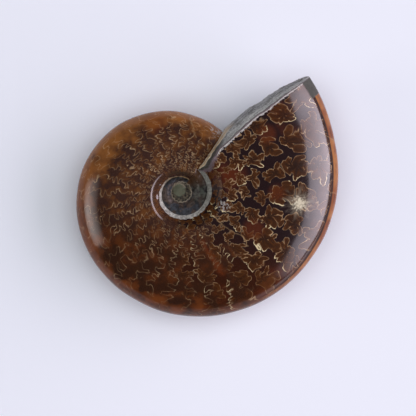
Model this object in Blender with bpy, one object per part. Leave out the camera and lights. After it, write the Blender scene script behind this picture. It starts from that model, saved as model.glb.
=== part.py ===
"""An ammonite fossil, cut free of its rock and polished all over, lying on one flank.

The shell is one solid. Its surface is laid out along the coil: each row of points crosses the whorl, from the
seam round the umbilicus, the hollow in the middle, out to the venter, the outer edge. The rows follow each other
along the spiral. One flank is built above the plane of the coil and mirrored below it. Then the fossil is tipped
onto its lower flank, which is ground flat where it touches.

Lengths are millimetres and angles are degrees until the mesh is written, in metres. Angles along the coil go on
growing from one turn to the next: the last turn runs from START_DEG to LIP_DEG, the earlier one ends where it
starts.
"""

import math

import bmesh
import bpy
from mathutils import Matrix, Vector

MM = 0.001
TURN = 360.0

# The coil: each radius grows by the same share for each radian. The ovals are waves that swell it out of true,
# each with its count round the turn, its share of the radius and the direction that it swells towards. The
# venter also flares out a little just before the lip.
LIP_DEG = 410.0
START_DEG = LIP_DEG - TURN
VENTER_AT_LIP = 37.05
VENTER_GROWTH = 0.1394
VENTER_OVAL = ((1, 0.0276, 238.0), (2, 0.0179, -10.0))
FLARE = 0.018
FLARE_FROM_DEG = 375.0
FLARE_DEG = 26.0
SEAM_AT_LIP = 6.05
SEAM_GROWTH = 0.112
SEAM_OVAL = ((1, 0.115, 283.0),)

# The section of a whorl: its half thickness, and where its parts lie across it, from the seam (0) to the
# venter (1). A straight wall with a grey rim climbs out of the umbilicus and rounds over a shoulder to the flank.
HALF_THICKNESS_AT_LIP = 8.5
THICKNESS_GROWTH = 0.066
RIM_AT = 0.045
SHOULDER_AT = 0.098
CREST_AT = 0.14
FLANK_POWER = 2.5

# The earlier turn shows only in the umbilicus, up to where the last turn covers it, with a groove where the two
# meet. Rock hides its wall there, and closes the very centre with a low knob.
COVER_AT = 0.28
SEAM_DIP = 0.94
FLOOR_SHARE = 0.8
FLOOR_CREST_AT = 0.16
FLOOR_FADE_DEG = 60.0
COIL_START_FADE_DEG = 90.0
KNOB_RISE = 0.3

# The lip: the shell ends on a line near a radius, and the rock that fills it bulges ahead of that edge down to
# its foot, on the earlier whorl or, beyond it, on the plane of the coil.
LIP_SWING_DEG = 4.5
LIP_BOW_DEG = 4.4
LIP_FADE_ROWS = 10
FOOT_SWING_DEG = 3.7
FOOT_FADE_ROWS = 8
FILL_LEAN = 0.31
FILL_STEPS = 4

# How the fossil lies: tipped towards the thin side of the coil, with this much ground off its lowest place.
LEAN_DEG = 3.5
LEAN_TOWARDS_DEG = 248.0
GROUND_OFF = 0.4

# The mesh.
ROWS_PER_TURN = 60
WALL_COLUMNS = (0.0, RIM_AT, SHOULDER_AT, 0.112, 0.126, CREST_AT, 0.18, COVER_AT)
FLANK_COLUMN_COUNT = 13
COVER_COLUMN = WALL_COLUMNS.index(COVER_AT)
MERGE_WITHIN = 0.00001


def grown(size_at_lip, rate, deg):
    """A size that grows evenly along the coil, at an angle of the coil."""
    return size_at_lip * math.exp(rate * math.radians(deg - LIP_DEG))


def oval(waves, deg):
    """The share by which the coil is swollen out of true in a direction."""
    return 1.0 + sum(
        share * math.cos(count * math.radians(deg - towards))
        for count, share, towards in waves
    )


def venter_radius(deg):
    flare = 1.0 + FLARE * eased((deg - FLARE_FROM_DEG) / FLARE_DEG)
    return grown(VENTER_AT_LIP, VENTER_GROWTH, deg) * oval(VENTER_OVAL, deg) * flare


def seam_radius(deg):
    return grown(SEAM_AT_LIP, SEAM_GROWTH, deg) * oval(SEAM_OVAL, deg)


def half_thickness(deg):
    return grown(HALF_THICKNESS_AT_LIP, THICKNESS_GROWTH, deg)


def eased(x):
    """0 to 1 with a level start and end."""
    x = min(max(x, 0.0), 1.0)
    return x * x * (3.0 - 2.0 * x)


def blend(start, end, share):
    return start + (end - start) * share


def section_share(across):
    """Height of the whorl's surface as a share of its half thickness, from the seam to the venter."""
    seam_share = SEAM_DIP * grown(1.0, THICKNESS_GROWTH, START_DEG)
    if across >= CREST_AT:
        out = min((across - CREST_AT) / (1.0 - CREST_AT), 1.0)
        return math.sqrt(1.0 - out**FLANK_POWER)
    climb = across / CREST_AT
    straight = SHOULDER_AT / CREST_AT
    slope = 2.0 / (1.0 + straight)
    if climb > straight:
        climb = 1.0 - slope / (1.0 - straight) * (1.0 - climb) ** 2 / 2.0
    else:
        climb = slope * climb
    return blend(seam_share, 1.0, climb)


def floor_share(across):
    """The same for the rock in the umbilicus, which hides the wall of the earlier turn."""
    return blend(FLOOR_SHARE, 1.0, math.sin(min(across / FLOOR_CREST_AT, 1.0) * math.pi / 2.0))


def coil_point(deg, radius, height):
    turn = math.radians(deg)
    return Vector((radius * math.cos(turn), radius * math.sin(turn), height))


def last_turn_point(deg, across):
    """A point on the upper surface of the last turn."""
    radius = blend(seam_radius(deg), venter_radius(deg), across)
    return coil_point(deg, radius, half_thickness(deg) * section_share(across))


def earlier_turn_point(deg, across):
    """A point on the upper surface of the earlier turn, which starts from nothing and widens as it goes."""
    opened = min((deg - START_DEG + TURN) / COIL_START_FADE_DEG, 1.0)
    inner = blend(seam_radius(deg + TURN), seam_radius(deg), opened)
    covered = seam_radius(deg + TURN)
    radius = blend(inner, covered, across / COVER_AT)
    buried = eased((START_DEG - deg) / FLOOR_FADE_DEG)
    share = blend(section_share(across), floor_share(across), buried)
    seam_height = half_thickness(deg + TURN) * section_share(0.0)
    return coil_point(deg, radius, blend(seam_height, half_thickness(deg) * share, opened))


def row_swing(row, across):
    """Degrees by which a row of the last turn leaves its radius, to follow the lip or the foot of its fill."""
    to_lip = max(1.0 - (ROWS_PER_TURN - row) / LIP_FADE_ROWS, 0.0)
    to_foot = max(1.0 - row / FOOT_FADE_ROWS, 0.0)
    lip = LIP_SWING_DEG * eased(across / CREST_AT) + LIP_BOW_DEG * across**2
    foot = FOOT_SWING_DEG * max(across - COVER_AT, 0.0) / (1.0 - COVER_AT)
    return foot * to_foot**2 - lip * to_lip**2


def foot_point(edge):
    """Where the fill ends below a point of the lip's edge."""
    inner = seam_radius(START_DEG)
    across = (edge.xy.length - inner) / (venter_radius(START_DEG) - inner)
    if across < 1.0:
        return last_turn_point(START_DEG + row_swing(0, across), across)
    lip = math.radians(LIP_DEG - LIP_SWING_DEG - LIP_BOW_DEG / 2.0)
    ahead = Vector((-math.sin(lip), math.cos(lip), 0.0))
    return Vector((edge.x, edge.y, 0.0)) + ahead * FILL_LEAN * edge.z


def fill_point(edge, foot, share):
    """A point on the bulge of the fill, a quarter of an ellipse from the lip's edge (0) to its foot (1)."""
    down = share * math.pi / 2.0
    point = edge.lerp(foot, math.sin(down))
    point.z = blend(foot.z, edge.z, math.cos(down))
    return point


def add_face(bm, corners, material):
    """One face on the corners that differ; none where fewer than three do."""
    corners = list(dict.fromkeys(corners))
    if len(corners) > 2:
        bm.faces.new(corners).material_index = material


def skin(bm, rows, material, rim_material=None):
    """Faces between each row of vertices and the next, with the first column in the rim's material."""
    for before, after in zip(rows, rows[1:]):
        for n in range(len(before) - 1):
            is_rim = n == 0 and rim_material is not None
            corners = (before[n], before[n + 1], after[n + 1], after[n])
            add_face(bm, corners, rim_material if is_rim else material)


def stitch(bm, chain, other, material):
    """Triangles between two chains of vertices that run outwards side by side from one vertex to another."""
    n = m = 0
    while n + 1 < len(chain) or m + 1 < len(other):
        chain_is_next = m + 1 == len(other) or (
            n + 1 < len(chain) and chain[n + 1].co.xy.length <= other[m + 1].co.xy.length
        )
        if chain_is_next:
            add_face(bm, (chain[n], other[m], chain[n + 1]), material)
            n += 1
        else:
            add_face(bm, (chain[n], other[m], other[m + 1]), material)
            m += 1


def add_last_turn(bm):
    """The last turn, from the foot of the lip round to the lip. It covers its own start."""
    flank = [(n + 1) / FLANK_COLUMN_COUNT for n in range(FLANK_COLUMN_COUNT)]
    columns = list(WALL_COLUMNS) + [blend(COVER_AT, 1.0, math.sin(n * math.pi / 2.0)) for n in flank]
    rows = []
    for row in range(ROWS_PER_TURN + 1):
        deg = START_DEG + TURN * row / ROWS_PER_TURN
        rows.append([bm.verts.new(last_turn_point(deg + row_swing(row, x), x)) for x in columns])
    corner = rows[-1][0]
    bm.verts.remove(rows[0][COVER_COLUMN])
    rows[0][COVER_COLUMN] = corner
    skin(bm, rows, POLISHED, ROCK)
    return rows


def add_earlier_turn(bm, last_turn):
    """The earlier turn, as far out as the last one leaves it bare, and the cap that closes its centre."""
    first = last_turn[0][0]
    rows = [[first] * (COVER_COLUMN + 1)]
    for row in range(1, ROWS_PER_TURN):
        deg = START_DEG - TURN + TURN * row / ROWS_PER_TURN
        verts = [bm.verts.new(earlier_turn_point(deg, x)) for x in WALL_COLUMNS[:COVER_COLUMN]]
        rows.append(verts + [last_turn[row][0]])
    rows.append(last_turn[0][: COVER_COLUMN + 1])
    skin(bm, rows, ROCK)
    rim = [row[0] for row in rows[:-1]]
    middle = sum((vert.co for vert in rim), Vector()) / len(rim)
    centre = bm.verts.new((middle.x, middle.y, middle.z + KNOB_RISE))
    for before, after in zip(rim, rim[1:] + rim[:1]):
        add_face(bm, (centre, before, after), ROCK)


def add_fill(bm, last_turn):
    """The rock that fills the lip, from the shell's edge down to its foot."""
    edge = last_turn[-1]
    feet = [foot_point(vert.co) for vert in edge]
    rows = [edge]
    for step in range(1, FILL_STEPS):
        inside = [
            bm.verts.new(fill_point(vert.co, foot, step / FILL_STEPS))
            for vert, foot in zip(edge[1:-1], feet[1:-1])
        ]
        rows.append([edge[0]] + inside + [edge[-1]])
    skin(bm, rows, ROCK)
    on_plane = [bm.verts.new(foot) for foot in feet[1:-1] if foot.z == 0.0]
    foot_chain = last_turn[0][COVER_COLUMN:] + on_plane + [edge[-1]]
    stitch(bm, rows[-1], foot_chain, ROCK)


def lay_down(bm):
    """Tips the fossil onto its lower flank, grinds that flat, and centres it on the ground."""
    axis = coil_point(LEAN_TOWARDS_DEG + 90.0, 1.0, 0.0)
    bmesh.ops.rotate(bm, verts=bm.verts, cent=(0.0, 0.0, 0.0),
                     matrix=Matrix.Rotation(math.radians(LEAN_DEG), 3, axis))
    lowest = min(vert.co.z for vert in bm.verts)
    across = [vert.co.x for vert in bm.verts]
    along = [vert.co.y for vert in bm.verts]
    shift = Vector((
        -(min(across) + max(across)) / 2.0,
        -(min(along) + max(along)) / 2.0,
        -lowest - GROUND_OFF,
    ))
    bmesh.ops.translate(bm, verts=bm.verts, vec=shift)
    everything = bm.verts[:] + bm.edges[:] + bm.faces[:]
    cut = bmesh.ops.bisect_plane(bm, geom=everything, plane_co=(0.0, 0.0, 0.0),
                                 plane_no=(0.0, 0.0, -1.0), clear_outer=True)
    outline = [part for part in cut["geom_cut"] if isinstance(part, bmesh.types.BMEdge)]
    bmesh.ops.triangle_fill(bm, edges=outline, use_beauty=True, normal=(0.0, 0.0, -1.0))


def new_material(name, colour, roughness):
    material = bpy.data.materials.new(name)
    material.use_nodes = True
    shader = material.node_tree.nodes["Principled BSDF"]
    shader.inputs["Base Color"].default_value = (*colour, 1.0)
    shader.inputs["Roughness"].default_value = roughness
    shader.inputs["Metallic"].default_value = 0.0
    material.diffuse_color = (*colour, 1.0)
    return material


def make_ammonite():
    bm = bmesh.new()
    last_turn = add_last_turn(bm)
    add_earlier_turn(bm, last_turn)
    add_fill(bm, last_turn)
    upper_half = bm.verts[:] + bm.edges[:] + bm.faces[:]
    bmesh.ops.mirror(bm, geom=upper_half, axis="Z", merge_dist=MERGE_WITHIN)
    lay_down(bm)
    bmesh.ops.recalc_face_normals(bm, faces=bm.faces)
    bmesh.ops.scale(bm, vec=(MM, MM, MM), verts=bm.verts)
    mesh = bpy.data.meshes.new("ammonite")
    bm.to_mesh(mesh)
    bm.free()
    mesh.materials.append(new_material("polished calcite", (0.115, 0.042, 0.014), 0.12))
    mesh.materials.append(new_material("grey rock", (0.21, 0.205, 0.195), 0.7))
    mesh.shade_smooth()
    mesh.set_sharp_from_angle(angle=math.radians(SHARP_DEG))
    fossil = bpy.data.objects.new("ammonite", mesh)
    bpy.context.scene.collection.objects.link(fossil)
    return fossil


POLISHED, ROCK = 0, 1
SHARP_DEG = 40.0

for leftover in list(bpy.data.objects):
    bpy.data.objects.remove(leftover, do_unlink=True)

make_ammonite()
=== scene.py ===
# %% [markdown]
# An ammonite fossil, cut free of its rock and polished all over, lying on one flank.
# The real one is a coiled shell whose chambers filled with calcite long ago. The outer shell is polished
# away, so that the sutures show: the frilled lines where each chamber wall met the shell, like a row of oak
# leaves. The solid from the CAD frame has the true size and the coil. This script lays a fine skin over it,
# in the same place, and gives that skin its finish. The frame is loaded first, and the size of its box is
# printed.

# %% Load the frame
import math
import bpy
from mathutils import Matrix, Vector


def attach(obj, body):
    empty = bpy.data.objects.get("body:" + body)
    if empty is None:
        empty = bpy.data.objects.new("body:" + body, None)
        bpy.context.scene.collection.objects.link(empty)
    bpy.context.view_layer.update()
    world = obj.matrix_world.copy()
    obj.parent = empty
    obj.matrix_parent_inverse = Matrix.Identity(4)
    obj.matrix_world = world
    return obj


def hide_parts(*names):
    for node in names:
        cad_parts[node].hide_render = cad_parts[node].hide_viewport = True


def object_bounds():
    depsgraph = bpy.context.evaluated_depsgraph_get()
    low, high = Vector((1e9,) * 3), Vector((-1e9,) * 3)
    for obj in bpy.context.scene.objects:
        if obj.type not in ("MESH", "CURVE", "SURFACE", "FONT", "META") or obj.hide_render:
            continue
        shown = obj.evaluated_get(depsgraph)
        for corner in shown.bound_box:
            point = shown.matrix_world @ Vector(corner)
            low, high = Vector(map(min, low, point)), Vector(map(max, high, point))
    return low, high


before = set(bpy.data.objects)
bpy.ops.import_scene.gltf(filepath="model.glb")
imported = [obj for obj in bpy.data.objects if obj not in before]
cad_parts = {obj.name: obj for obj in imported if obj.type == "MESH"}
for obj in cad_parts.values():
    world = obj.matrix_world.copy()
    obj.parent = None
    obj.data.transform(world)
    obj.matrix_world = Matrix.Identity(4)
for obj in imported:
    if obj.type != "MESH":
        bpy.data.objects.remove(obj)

from types import SimpleNamespace

import bpy
import numpy as np

MM = 0.001
TURN = 360.0
cad_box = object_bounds()
cad_low, cad_high = (np.array(corner) for corner in cad_box)
print("CAD box, mm:", np.round((cad_high - cad_low) / MM, 2))


# %% [markdown]
# A shell grows at its lip, and adds the same share to its size for each degree that it coils. That is a
# logarithmic spiral, so every radius here is one size at the lip and one rate of growth. The numbers are the
# ones that the solid was built from, in millimetres and degrees. Angles go on growing from turn to turn: the
# last turn runs from START_DEG to LIP_DEG, and the earlier one ends where the last one starts.
# A real coil is a little out of true, which two low waves round the turn take care of. It also flares out a
# little just before the lip.

# %% How the coil grows
LIP_DEG = 410.0
START_DEG = LIP_DEG - TURN
VENTER_AT_LIP = 37.05
VENTER_GROWTH = 0.1394
VENTER_OVAL = ((1, 0.0276, 238.0), (2, 0.0179, -10.0))
FLARE = 0.018
FLARE_FROM_DEG = 375.0
FLARE_DEG = 26.0
SEAM_AT_LIP = 6.05
SEAM_GROWTH = 0.112
SEAM_OVAL = ((1, 0.115, 283.0),)
HALF_THICKNESS_AT_LIP = 8.5
THICKNESS_GROWTH = 0.066


def grown(size_at_lip, rate, deg):
    """Size at an angle of the coil: the size at the lip, times e to the rate times the angle past the lip."""
    return size_at_lip * np.exp(rate * np.radians(deg - LIP_DEG))


def eased(x):
    """0 to 1 with a level start and end: 3 x squared less 2 x cubed."""
    x = np.clip(x, 0.0, 1.0)
    return x * x * (3.0 - 2.0 * x)


def oval(waves, deg):
    """One, plus each wave's share times the cosine of its count times the angle from its direction."""
    return 1.0 + sum(share * np.cos(count * np.radians(deg - towards)) for count, share, towards in waves)


def venter_radius(deg):
    """Radius of the outer edge of the whorl."""
    flare = 1.0 + FLARE * eased((deg - FLARE_FROM_DEG) / FLARE_DEG)
    return grown(VENTER_AT_LIP, VENTER_GROWTH, deg) * oval(VENTER_OVAL, deg) * flare


def seam_radius(deg):
    """Radius of the seam, the inner edge of the whorl."""
    return grown(SEAM_AT_LIP, SEAM_GROWTH, deg) * oval(SEAM_OVAL, deg)


def half_thickness(deg):
    """Half of the whorl's thickness at its crest."""
    return grown(HALF_THICKNESS_AT_LIP, THICKNESS_GROWTH, deg)


print("outer radius, mm, at the start and the lip of the last turn:",
      np.round(venter_radius(np.array([START_DEG, LIP_DEG])), 2))


# %% [markdown]
# Cut across, one whorl is a tall lens. From the seam at the umbilicus, the hollow in the middle, a short wall
# climbs to a rounded shoulder, and the flank then falls away in a long curve to the venter, the outer edge.
# It could be drawn as a curve with handles and swept, but a formula keeps the same section at every size, and
# gives a height anywhere on the flank, which the mesh needs later where one turn meets the next.

# %% The section of a whorl
RIM_AT = 0.045
SHOULDER_AT = 0.098
CREST_AT = 0.14
FLANK_POWER = 2.5
SEAM_DIP = 0.94
SEAM_SHARE = SEAM_DIP * grown(1.0, THICKNESS_GROWTH, START_DEG)


def blend(start, end, share):
    """The start at a share of 0 and the end at 1."""
    return start + (end - start) * share


def section_share(across):
    """Height as a share of the half thickness, from seam (0) to venter (1): a straight wall that bends over a
    parabola to the crest, then the square root of one less the share of the way out to a power."""
    out = np.clip((across - CREST_AT) / (1.0 - CREST_AT), 0.0, 1.0)
    flank = np.sqrt(1.0 - out**FLANK_POWER)
    climb = across / CREST_AT
    straight = SHOULDER_AT / CREST_AT
    slope = 2.0 / (1.0 + straight)
    bend = 1.0 - slope / (1.0 - straight) * (1.0 - climb) ** 2 / 2.0
    wall = np.where(climb > straight, bend, slope * climb)
    return np.where(across >= CREST_AT, flank, blend(SEAM_SHARE, 1.0, wall))


print("height at the seam, shoulder and mid flank, as shares:",
      np.round(section_share(np.array([0.0, SHOULDER_AT, 0.5])), 3))


# %% [markdown]
# The flank is worked out as one grid: rows of points that cross the whorl, one row for each degree or so.
# Near the lip the rows swing back to follow the broken edge of the shell, and at the start they swing to
# follow the foot of the rock that fills the lip. Columns stand closer in the wall, which bends most.

# %% Points of the last turn
ROWS_PER_TURN = 320
ROW_DEG = TURN / ROWS_PER_TURN
COVER_AT = 0.28
LIP_SWING_DEG = 7.0
LIP_EDGE = (
    (0.0, 0.0), (0.03, 9.0), (0.07, 13.5), (0.13, 7.4), (0.21, 4.2),
    (0.33, 5.2), (0.5, 5.7), (0.66, 7.4), (1.0, 8.9),
)
LIP_FADE_DEG = 60.0
FOOT_SWING_DEG = 3.7
FOOT_FADE_DEG = 48.0
GROOVE_HALF_WIDTH = 0.12
GROOVE_FADE_DEG = 6.0

columns = np.concatenate([
    np.linspace(0.0, RIM_AT, 8),
    np.linspace(RIM_AT, CREST_AT, 14)[1:],
    np.linspace(CREST_AT, COVER_AT, 10)[1:],
    blend(COVER_AT, 1.0, np.sin(np.linspace(0.0, math.pi / 2.0, 58)))[1:],
])
cover_column = int(np.searchsorted(columns, COVER_AT))


def cover_share(deg):
    """How far across its flank a turn is covered by the next one, whose seam lies there."""
    return (seam_radius(deg + TURN) - seam_radius(deg)) / (venter_radius(deg) - seam_radius(deg))


def coil_points(deg, radius, height):
    """Points at an angle, a radius and a height: x is the radius times the cosine, y times the sine."""
    turn = np.radians(deg)
    return np.stack([radius * np.cos(turn), radius * np.sin(turn), height + 0.0 * turn], axis=-1)


def lip_swing(across):
    """Degrees that the broken edge lies behind its radius: an eased step between the points of LIP_EDGE, each
    of them a place across and its degrees."""
    at, behind = np.array(LIP_EDGE).T
    n = np.clip(np.searchsorted(at, across, side="right") - 1, 0, len(at) - 2)
    return blend(behind[n], behind[n + 1], eased((across - at[n]) / (at[n + 1] - at[n])))


def row_swing(deg, across):
    """Degrees by which a point leaves its row: rows follow the lip at one end and the fill at the other."""
    to_lip = np.clip(1.0 - (LIP_DEG - deg) / LIP_FADE_DEG, 0.0, 1.0) ** 2
    to_foot = np.clip(1.0 - (deg - START_DEG) / FOOT_FADE_DEG, 0.0, 1.0) ** 2
    foot = FOOT_SWING_DEG * np.maximum(across - COVER_AT, 0.0) / (1.0 - COVER_AT)
    return foot * to_foot - lip_swing(across) * to_lip


def last_turn_points(deg, across):
    """Points on the upper flank of the last turn: the section at that angle, with a bell-shaped groove where
    it is about to be covered."""
    radius = blend(seam_radius(deg), venter_radius(deg), across)
    from_cover = (across / cover_share(START_DEG) - 1.0) / GROOVE_HALF_WIDTH
    groove = np.exp(-from_cover**2) * np.clip(1.0 - (deg - START_DEG) / GROOVE_FADE_DEG, 0.0, 1.0) ** 2
    height = half_thickness(deg) * section_share(across) * (1.0 - (1.0 - SEAM_DIP) * groove)
    return coil_points(deg, radius, height)


def last_turn_grid():
    """Angle and place across for each point. At the start, one column slides onto the next turn's seam."""
    deg = START_DEG + ROW_DEG * np.arange(ROWS_PER_TURN + 1)[:, None]
    near_start = eased(1.0 - (deg - START_DEG) / FOOT_FADE_DEG)
    true_cover = blend(COVER_AT, cover_share(START_DEG), near_start)
    inner = columns / COVER_AT * true_cover
    outer = 1.0 - (1.0 - columns) / (1.0 - COVER_AT) * (1.0 - true_cover)
    across = np.where(columns <= COVER_AT, inner, outer)
    return deg + row_swing(deg, across), across


last_deg, last_across = last_turn_grid()
last_points = last_turn_points(last_deg, last_across)
print("last turn:", last_points.shape[:2], "points, reach, mm:",
      np.round(np.linalg.norm(last_points[..., :2], axis=-1).max(), 2))


# %% [markdown]
# The earlier turn shows only inside the umbilicus, up to the seam of the last one. It starts from nothing at
# the very centre and widens as it goes, and rock hides its wall, so it lies there as a low shelf.

# %% Points of the earlier turn
COIL_START_FADE_DEG = 90.0
FLOOR_SHARE = 0.8
FLOOR_CREST_AT = 0.16
FLOOR_FADE_DEG = 60.0


def floor_share(across):
    """Height of the rock in the umbilicus, a quarter of a sine up to its crest."""
    return blend(FLOOR_SHARE, 1.0, np.sin(np.minimum(across / FLOOR_CREST_AT, 1.0) * math.pi / 2.0))


def earlier_turn_points(deg, share):
    """Points from the earlier turn's seam (0) to the last turn's seam (1)."""
    opened = np.minimum((deg - START_DEG + TURN) / COIL_START_FADE_DEG, 1.0)
    covered = seam_radius(deg + TURN)
    radius = blend(blend(covered, seam_radius(deg), opened), covered, share)
    across = share * cover_share(deg)
    buried = eased((START_DEG - deg) / FLOOR_FADE_DEG)
    groove = np.exp(-(((share - 1.0) / GROOVE_HALF_WIDTH) ** 2))
    rise = blend(section_share(across), floor_share(across), buried) * (1.0 - (1.0 - SEAM_DIP) * groove)
    seam_height = half_thickness(deg + TURN) * SEAM_SHARE
    return coil_points(deg, radius, blend(seam_height, half_thickness(deg) * rise, opened))


early_share = columns[: cover_column + 1] / COVER_AT
early_deg = START_DEG - TURN + ROW_DEG * np.arange(ROWS_PER_TURN + 1)[:, None] + 0.0 * early_share
early_points = earlier_turn_points(early_deg, early_share)
print("earlier turn:", early_points.shape[:2], "points")


# %% [markdown]
# The lip is filled with rock. It bulges ahead of the shell's edge and comes down to its foot, on the older
# flank where that is below it and on the plane of the coil further out.

# %% Points of the fill
FILL_LEAN = 0.31
FILL_ROWS = 14


def fill_feet(edge):
    """Where the fill ends below each point of the lip's edge."""
    reach = np.linalg.norm(edge[:, :2], axis=1)
    inner = seam_radius(START_DEG)
    across = (reach - inner) / (venter_radius(START_DEG) - inner)
    on_flank = last_turn_points(START_DEG + row_swing(START_DEG, across), np.minimum(across, 1.0))
    lip = math.radians(LIP_DEG - LIP_SWING_DEG)
    ahead = np.array([-math.sin(lip), math.cos(lip), 0.0])
    on_plane = edge * (1.0, 1.0, 0.0) + ahead * FILL_LEAN * edge[:, 2:]
    return np.where(across[:, None] < 1.0, on_flank, on_plane), across >= 1.0


def fill_grid_points(edge, feet):
    """Rows down the bulge, a quarter of an ellipse: sine of the way down outwards, its cosine in height."""
    down = np.linspace(0.0, math.pi / 2.0, FILL_ROWS + 1)[:-1, None]
    flat = blend(edge[None, :, :2], feet[None, :, :2], np.sin(down)[..., None])
    height = blend(feet[None, :, 2], edge[None, :, 2], np.cos(down))
    return np.concatenate([flat, height[..., None]], axis=-1)


edge = last_points[-1]
feet, foot_on_plane = fill_feet(edge)
fill_points = fill_grid_points(edge, feet)
print("fill:", fill_points.shape[:2], "points,", int(foot_on_plane.sum()), "feet on the plane of the coil")


# %% [markdown]
# Now the grids become one closed skin. Each grid keeps its own numbering of the shared points: the seam of
# the last turn is the outer column of the earlier one, and so on. `corners` takes the four corners of every
# cell of a grid at once, and works the same way on numbers of points and on any value that the cells should
# carry.

# %% Number the points
CAP_RINGS = 7
KNOB_RISE = 0.3

points = []


def add_points(new):
    """Adds points to the list and returns their numbers, in the same grid."""
    first = sum(len(block) for block in points)
    points.append(new.reshape(-1, 3))
    return first + np.arange(new.size // 3).reshape(new.shape[:-1])


def corners(grid):
    """The four corners of each cell of a grid, anticlockwise."""
    cells = np.stack([grid[:-1, :-1], grid[:-1, 1:], grid[1:, 1:], grid[1:, :-1]], axis=2)
    return cells.reshape((-1, 4) + grid.shape[2:])


last_ids = add_points(last_points)
last_ids[0, cover_column] = last_ids[-1, 0]

early_ids = np.empty(early_points.shape[:2], int)
early_ids[1:-1, :-1] = add_points(early_points[1:-1, :-1])
early_ids[:, -1] = last_ids[:, 0]
early_ids[0, :] = last_ids[0, 0]
early_ids[-1, :] = last_ids[0, : cover_column + 1]

rim_ids = early_ids[:-1, 0]
rim_points = np.concatenate([last_points[:1, 0], early_points[1:-1, 0]])
middle = rim_points.mean(axis=0)
ring_share = (np.arange(1, CAP_RINGS) / CAP_RINGS)[:, None, None]
cap_points = blend(rim_points[None], middle, ring_share)
cap_points[..., 2] += KNOB_RISE * ring_share[..., 0] ** 0.5
cap_ids = np.concatenate([rim_ids[None], add_points(cap_points)])
cap_ids = np.concatenate([cap_ids, cap_ids[:, :1]], axis=1)
centre_id = add_points((middle + (0.0, 0.0, KNOB_RISE)).reshape(1, 3))[0]

fill_ids = np.empty(fill_points.shape[:2], int)
fill_ids[1:, 1:-1] = add_points(fill_points[1:, 1:-1])
fill_ids[0] = last_ids[-1]
fill_ids[:, 0] = last_ids[-1, 0]
fill_ids[:, -1] = last_ids[-1, -1]
plane_feet = foot_on_plane[1:-1]
plane_ids = add_points(feet[1:-1][plane_feet])
foot_chain = np.concatenate([last_ids[0, cover_column:], plane_ids, last_ids[-1, -1:]])
print("upper half:", sum(len(block) for block in points), "points")


# %% Stitch, mirror and close the skin
def fan(ring, centre):
    """Triangles between each pair of neighbours in a ring and its centre."""
    return np.stack([ring[:-1], ring[1:], np.full(len(ring) - 1, centre)], axis=1)


def stitch(chain, chain_reach, other, other_reach):
    """Triangles between two chains that run outwards side by side. The next point outwards, of either chain,
    makes a triangle with the last point of its own chain and the last of the other one."""
    reach = np.concatenate([chain_reach[1:], other_reach[1:]])
    from_chain = (np.arange(len(reach)) < len(chain) - 1)[np.argsort(reach, kind="stable")]
    n, m = np.cumsum(from_chain), np.cumsum(~from_chain)
    own = np.where(from_chain, chain[n - from_chain], chain[n])
    facing = np.where(from_chain, other[m], other[m - ~from_chain])
    ahead = np.where(from_chain, chain[n], other[m])
    return np.stack([own, facing, ahead], axis=1)


half = np.concatenate(points)
reach = np.linalg.norm(half[:, :2], axis=1)
# Both chains end at the tip of the lip, so it has to come last in each.
reach[last_ids[-1, -1]] += 1.0
foot_triangles = stitch(fill_ids[-1], reach[fill_ids[-1]], foot_chain, reach[foot_chain])
cap_triangles = fan(cap_ids[-1], centre_id)
print("foot triangles:", len(foot_triangles), "cap triangles:", len(cap_triangles))


# %% [markdown]
# The pattern is drawn in the shell's own coordinates, so the skin carries them as a UV map called "coil". U
# counts chambers along the coil. V is the length across the flank, in units that shrink with the distance
# from the centre in the same way as the chambers do. A shape drawn on this map keeps its form everywhere and
# only grows along the coil, as the real sutures do. Three more values ride on the corners of the faces: how
# far across the whorl a place is, how long a chamber is there, and how far the lip is, in millimetres. On
# the rock in the lip, the last of these runs from zero at the shell down to minus one at the foot of the
# rock.

# %% The coil's own coordinates
CHAMBER_DEG = 14.0
CHAMBER_TURN = math.radians(CHAMBER_DEG)


def coil_map(deg, grid):
    """U is the angle over a chamber's angle. V adds up the steps across the row, each over its distance from
    the axis, which makes the map conformal: it keeps angles and small shapes."""
    step = np.linalg.norm(np.diff(grid, axis=1), axis=-1)
    span = np.linalg.norm(grid[..., :2], axis=-1)
    share = step / (span[:, 1:] + span[:, :-1]) * 2.0
    v = np.concatenate([np.zeros((len(grid), 1)), np.cumsum(share, axis=1)], axis=1) / CHAMBER_TURN
    return np.stack([deg / CHAMBER_DEG, v], axis=-1), span * CHAMBER_TURN


last_uv, last_chamber = coil_map(last_deg, last_points)
early_uv, early_chamber = coil_map(early_deg, early_points)
lip_deg = LIP_DEG + row_swing(LIP_DEG, last_across)
last_to_lip = np.radians(lip_deg - last_deg) * last_chamber / CHAMBER_TURN
print("chambers in a turn:", round(TURN / CHAMBER_DEG, 1), "V at the venter:", last_uv[-1, -1, 1].round(2))


# %% Gather the triangles and what their corners carry
POLISHED, FLOOR, FILL = 0, 1, 2
FAR_FROM_LIP = 1000.0
FILL_SPREAD = 1.6


def packed(uv, across, chamber, to_lip):
    """One array of the five values of each point: U, V, across, chamber length and distance to the lip."""
    parts = np.broadcast_arrays(uv[..., 0], uv[..., 1], across, chamber, to_lip)
    return np.stack(parts, axis=-1)


def halved(cells):
    """Two triangles for each cell of four corners."""
    return np.concatenate([cells[:, [0, 1, 2]], cells[:, [0, 2, 3]]])


last_values = packed(last_uv, last_across, last_chamber, last_to_lip)
early_values = packed(early_uv, early_share * cover_share(early_deg), early_chamber, FAR_FROM_LIP)
point_values = np.zeros((len(half), 5))
point_values[early_ids] = early_values
point_values[last_ids] = last_values
point_values[cap_ids[1:]] = point_values[cap_ids[:1]]
point_values[cap_ids[1:], 2] = -ring_share[..., 0]
point_values[centre_id] = point_values[rim_ids].mean(axis=0)
point_values[centre_id, 2] = -1.0
knob_ids = np.concatenate([halved(corners(cap_ids)), cap_triangles])
knob_values = point_values[knob_ids]

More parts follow.
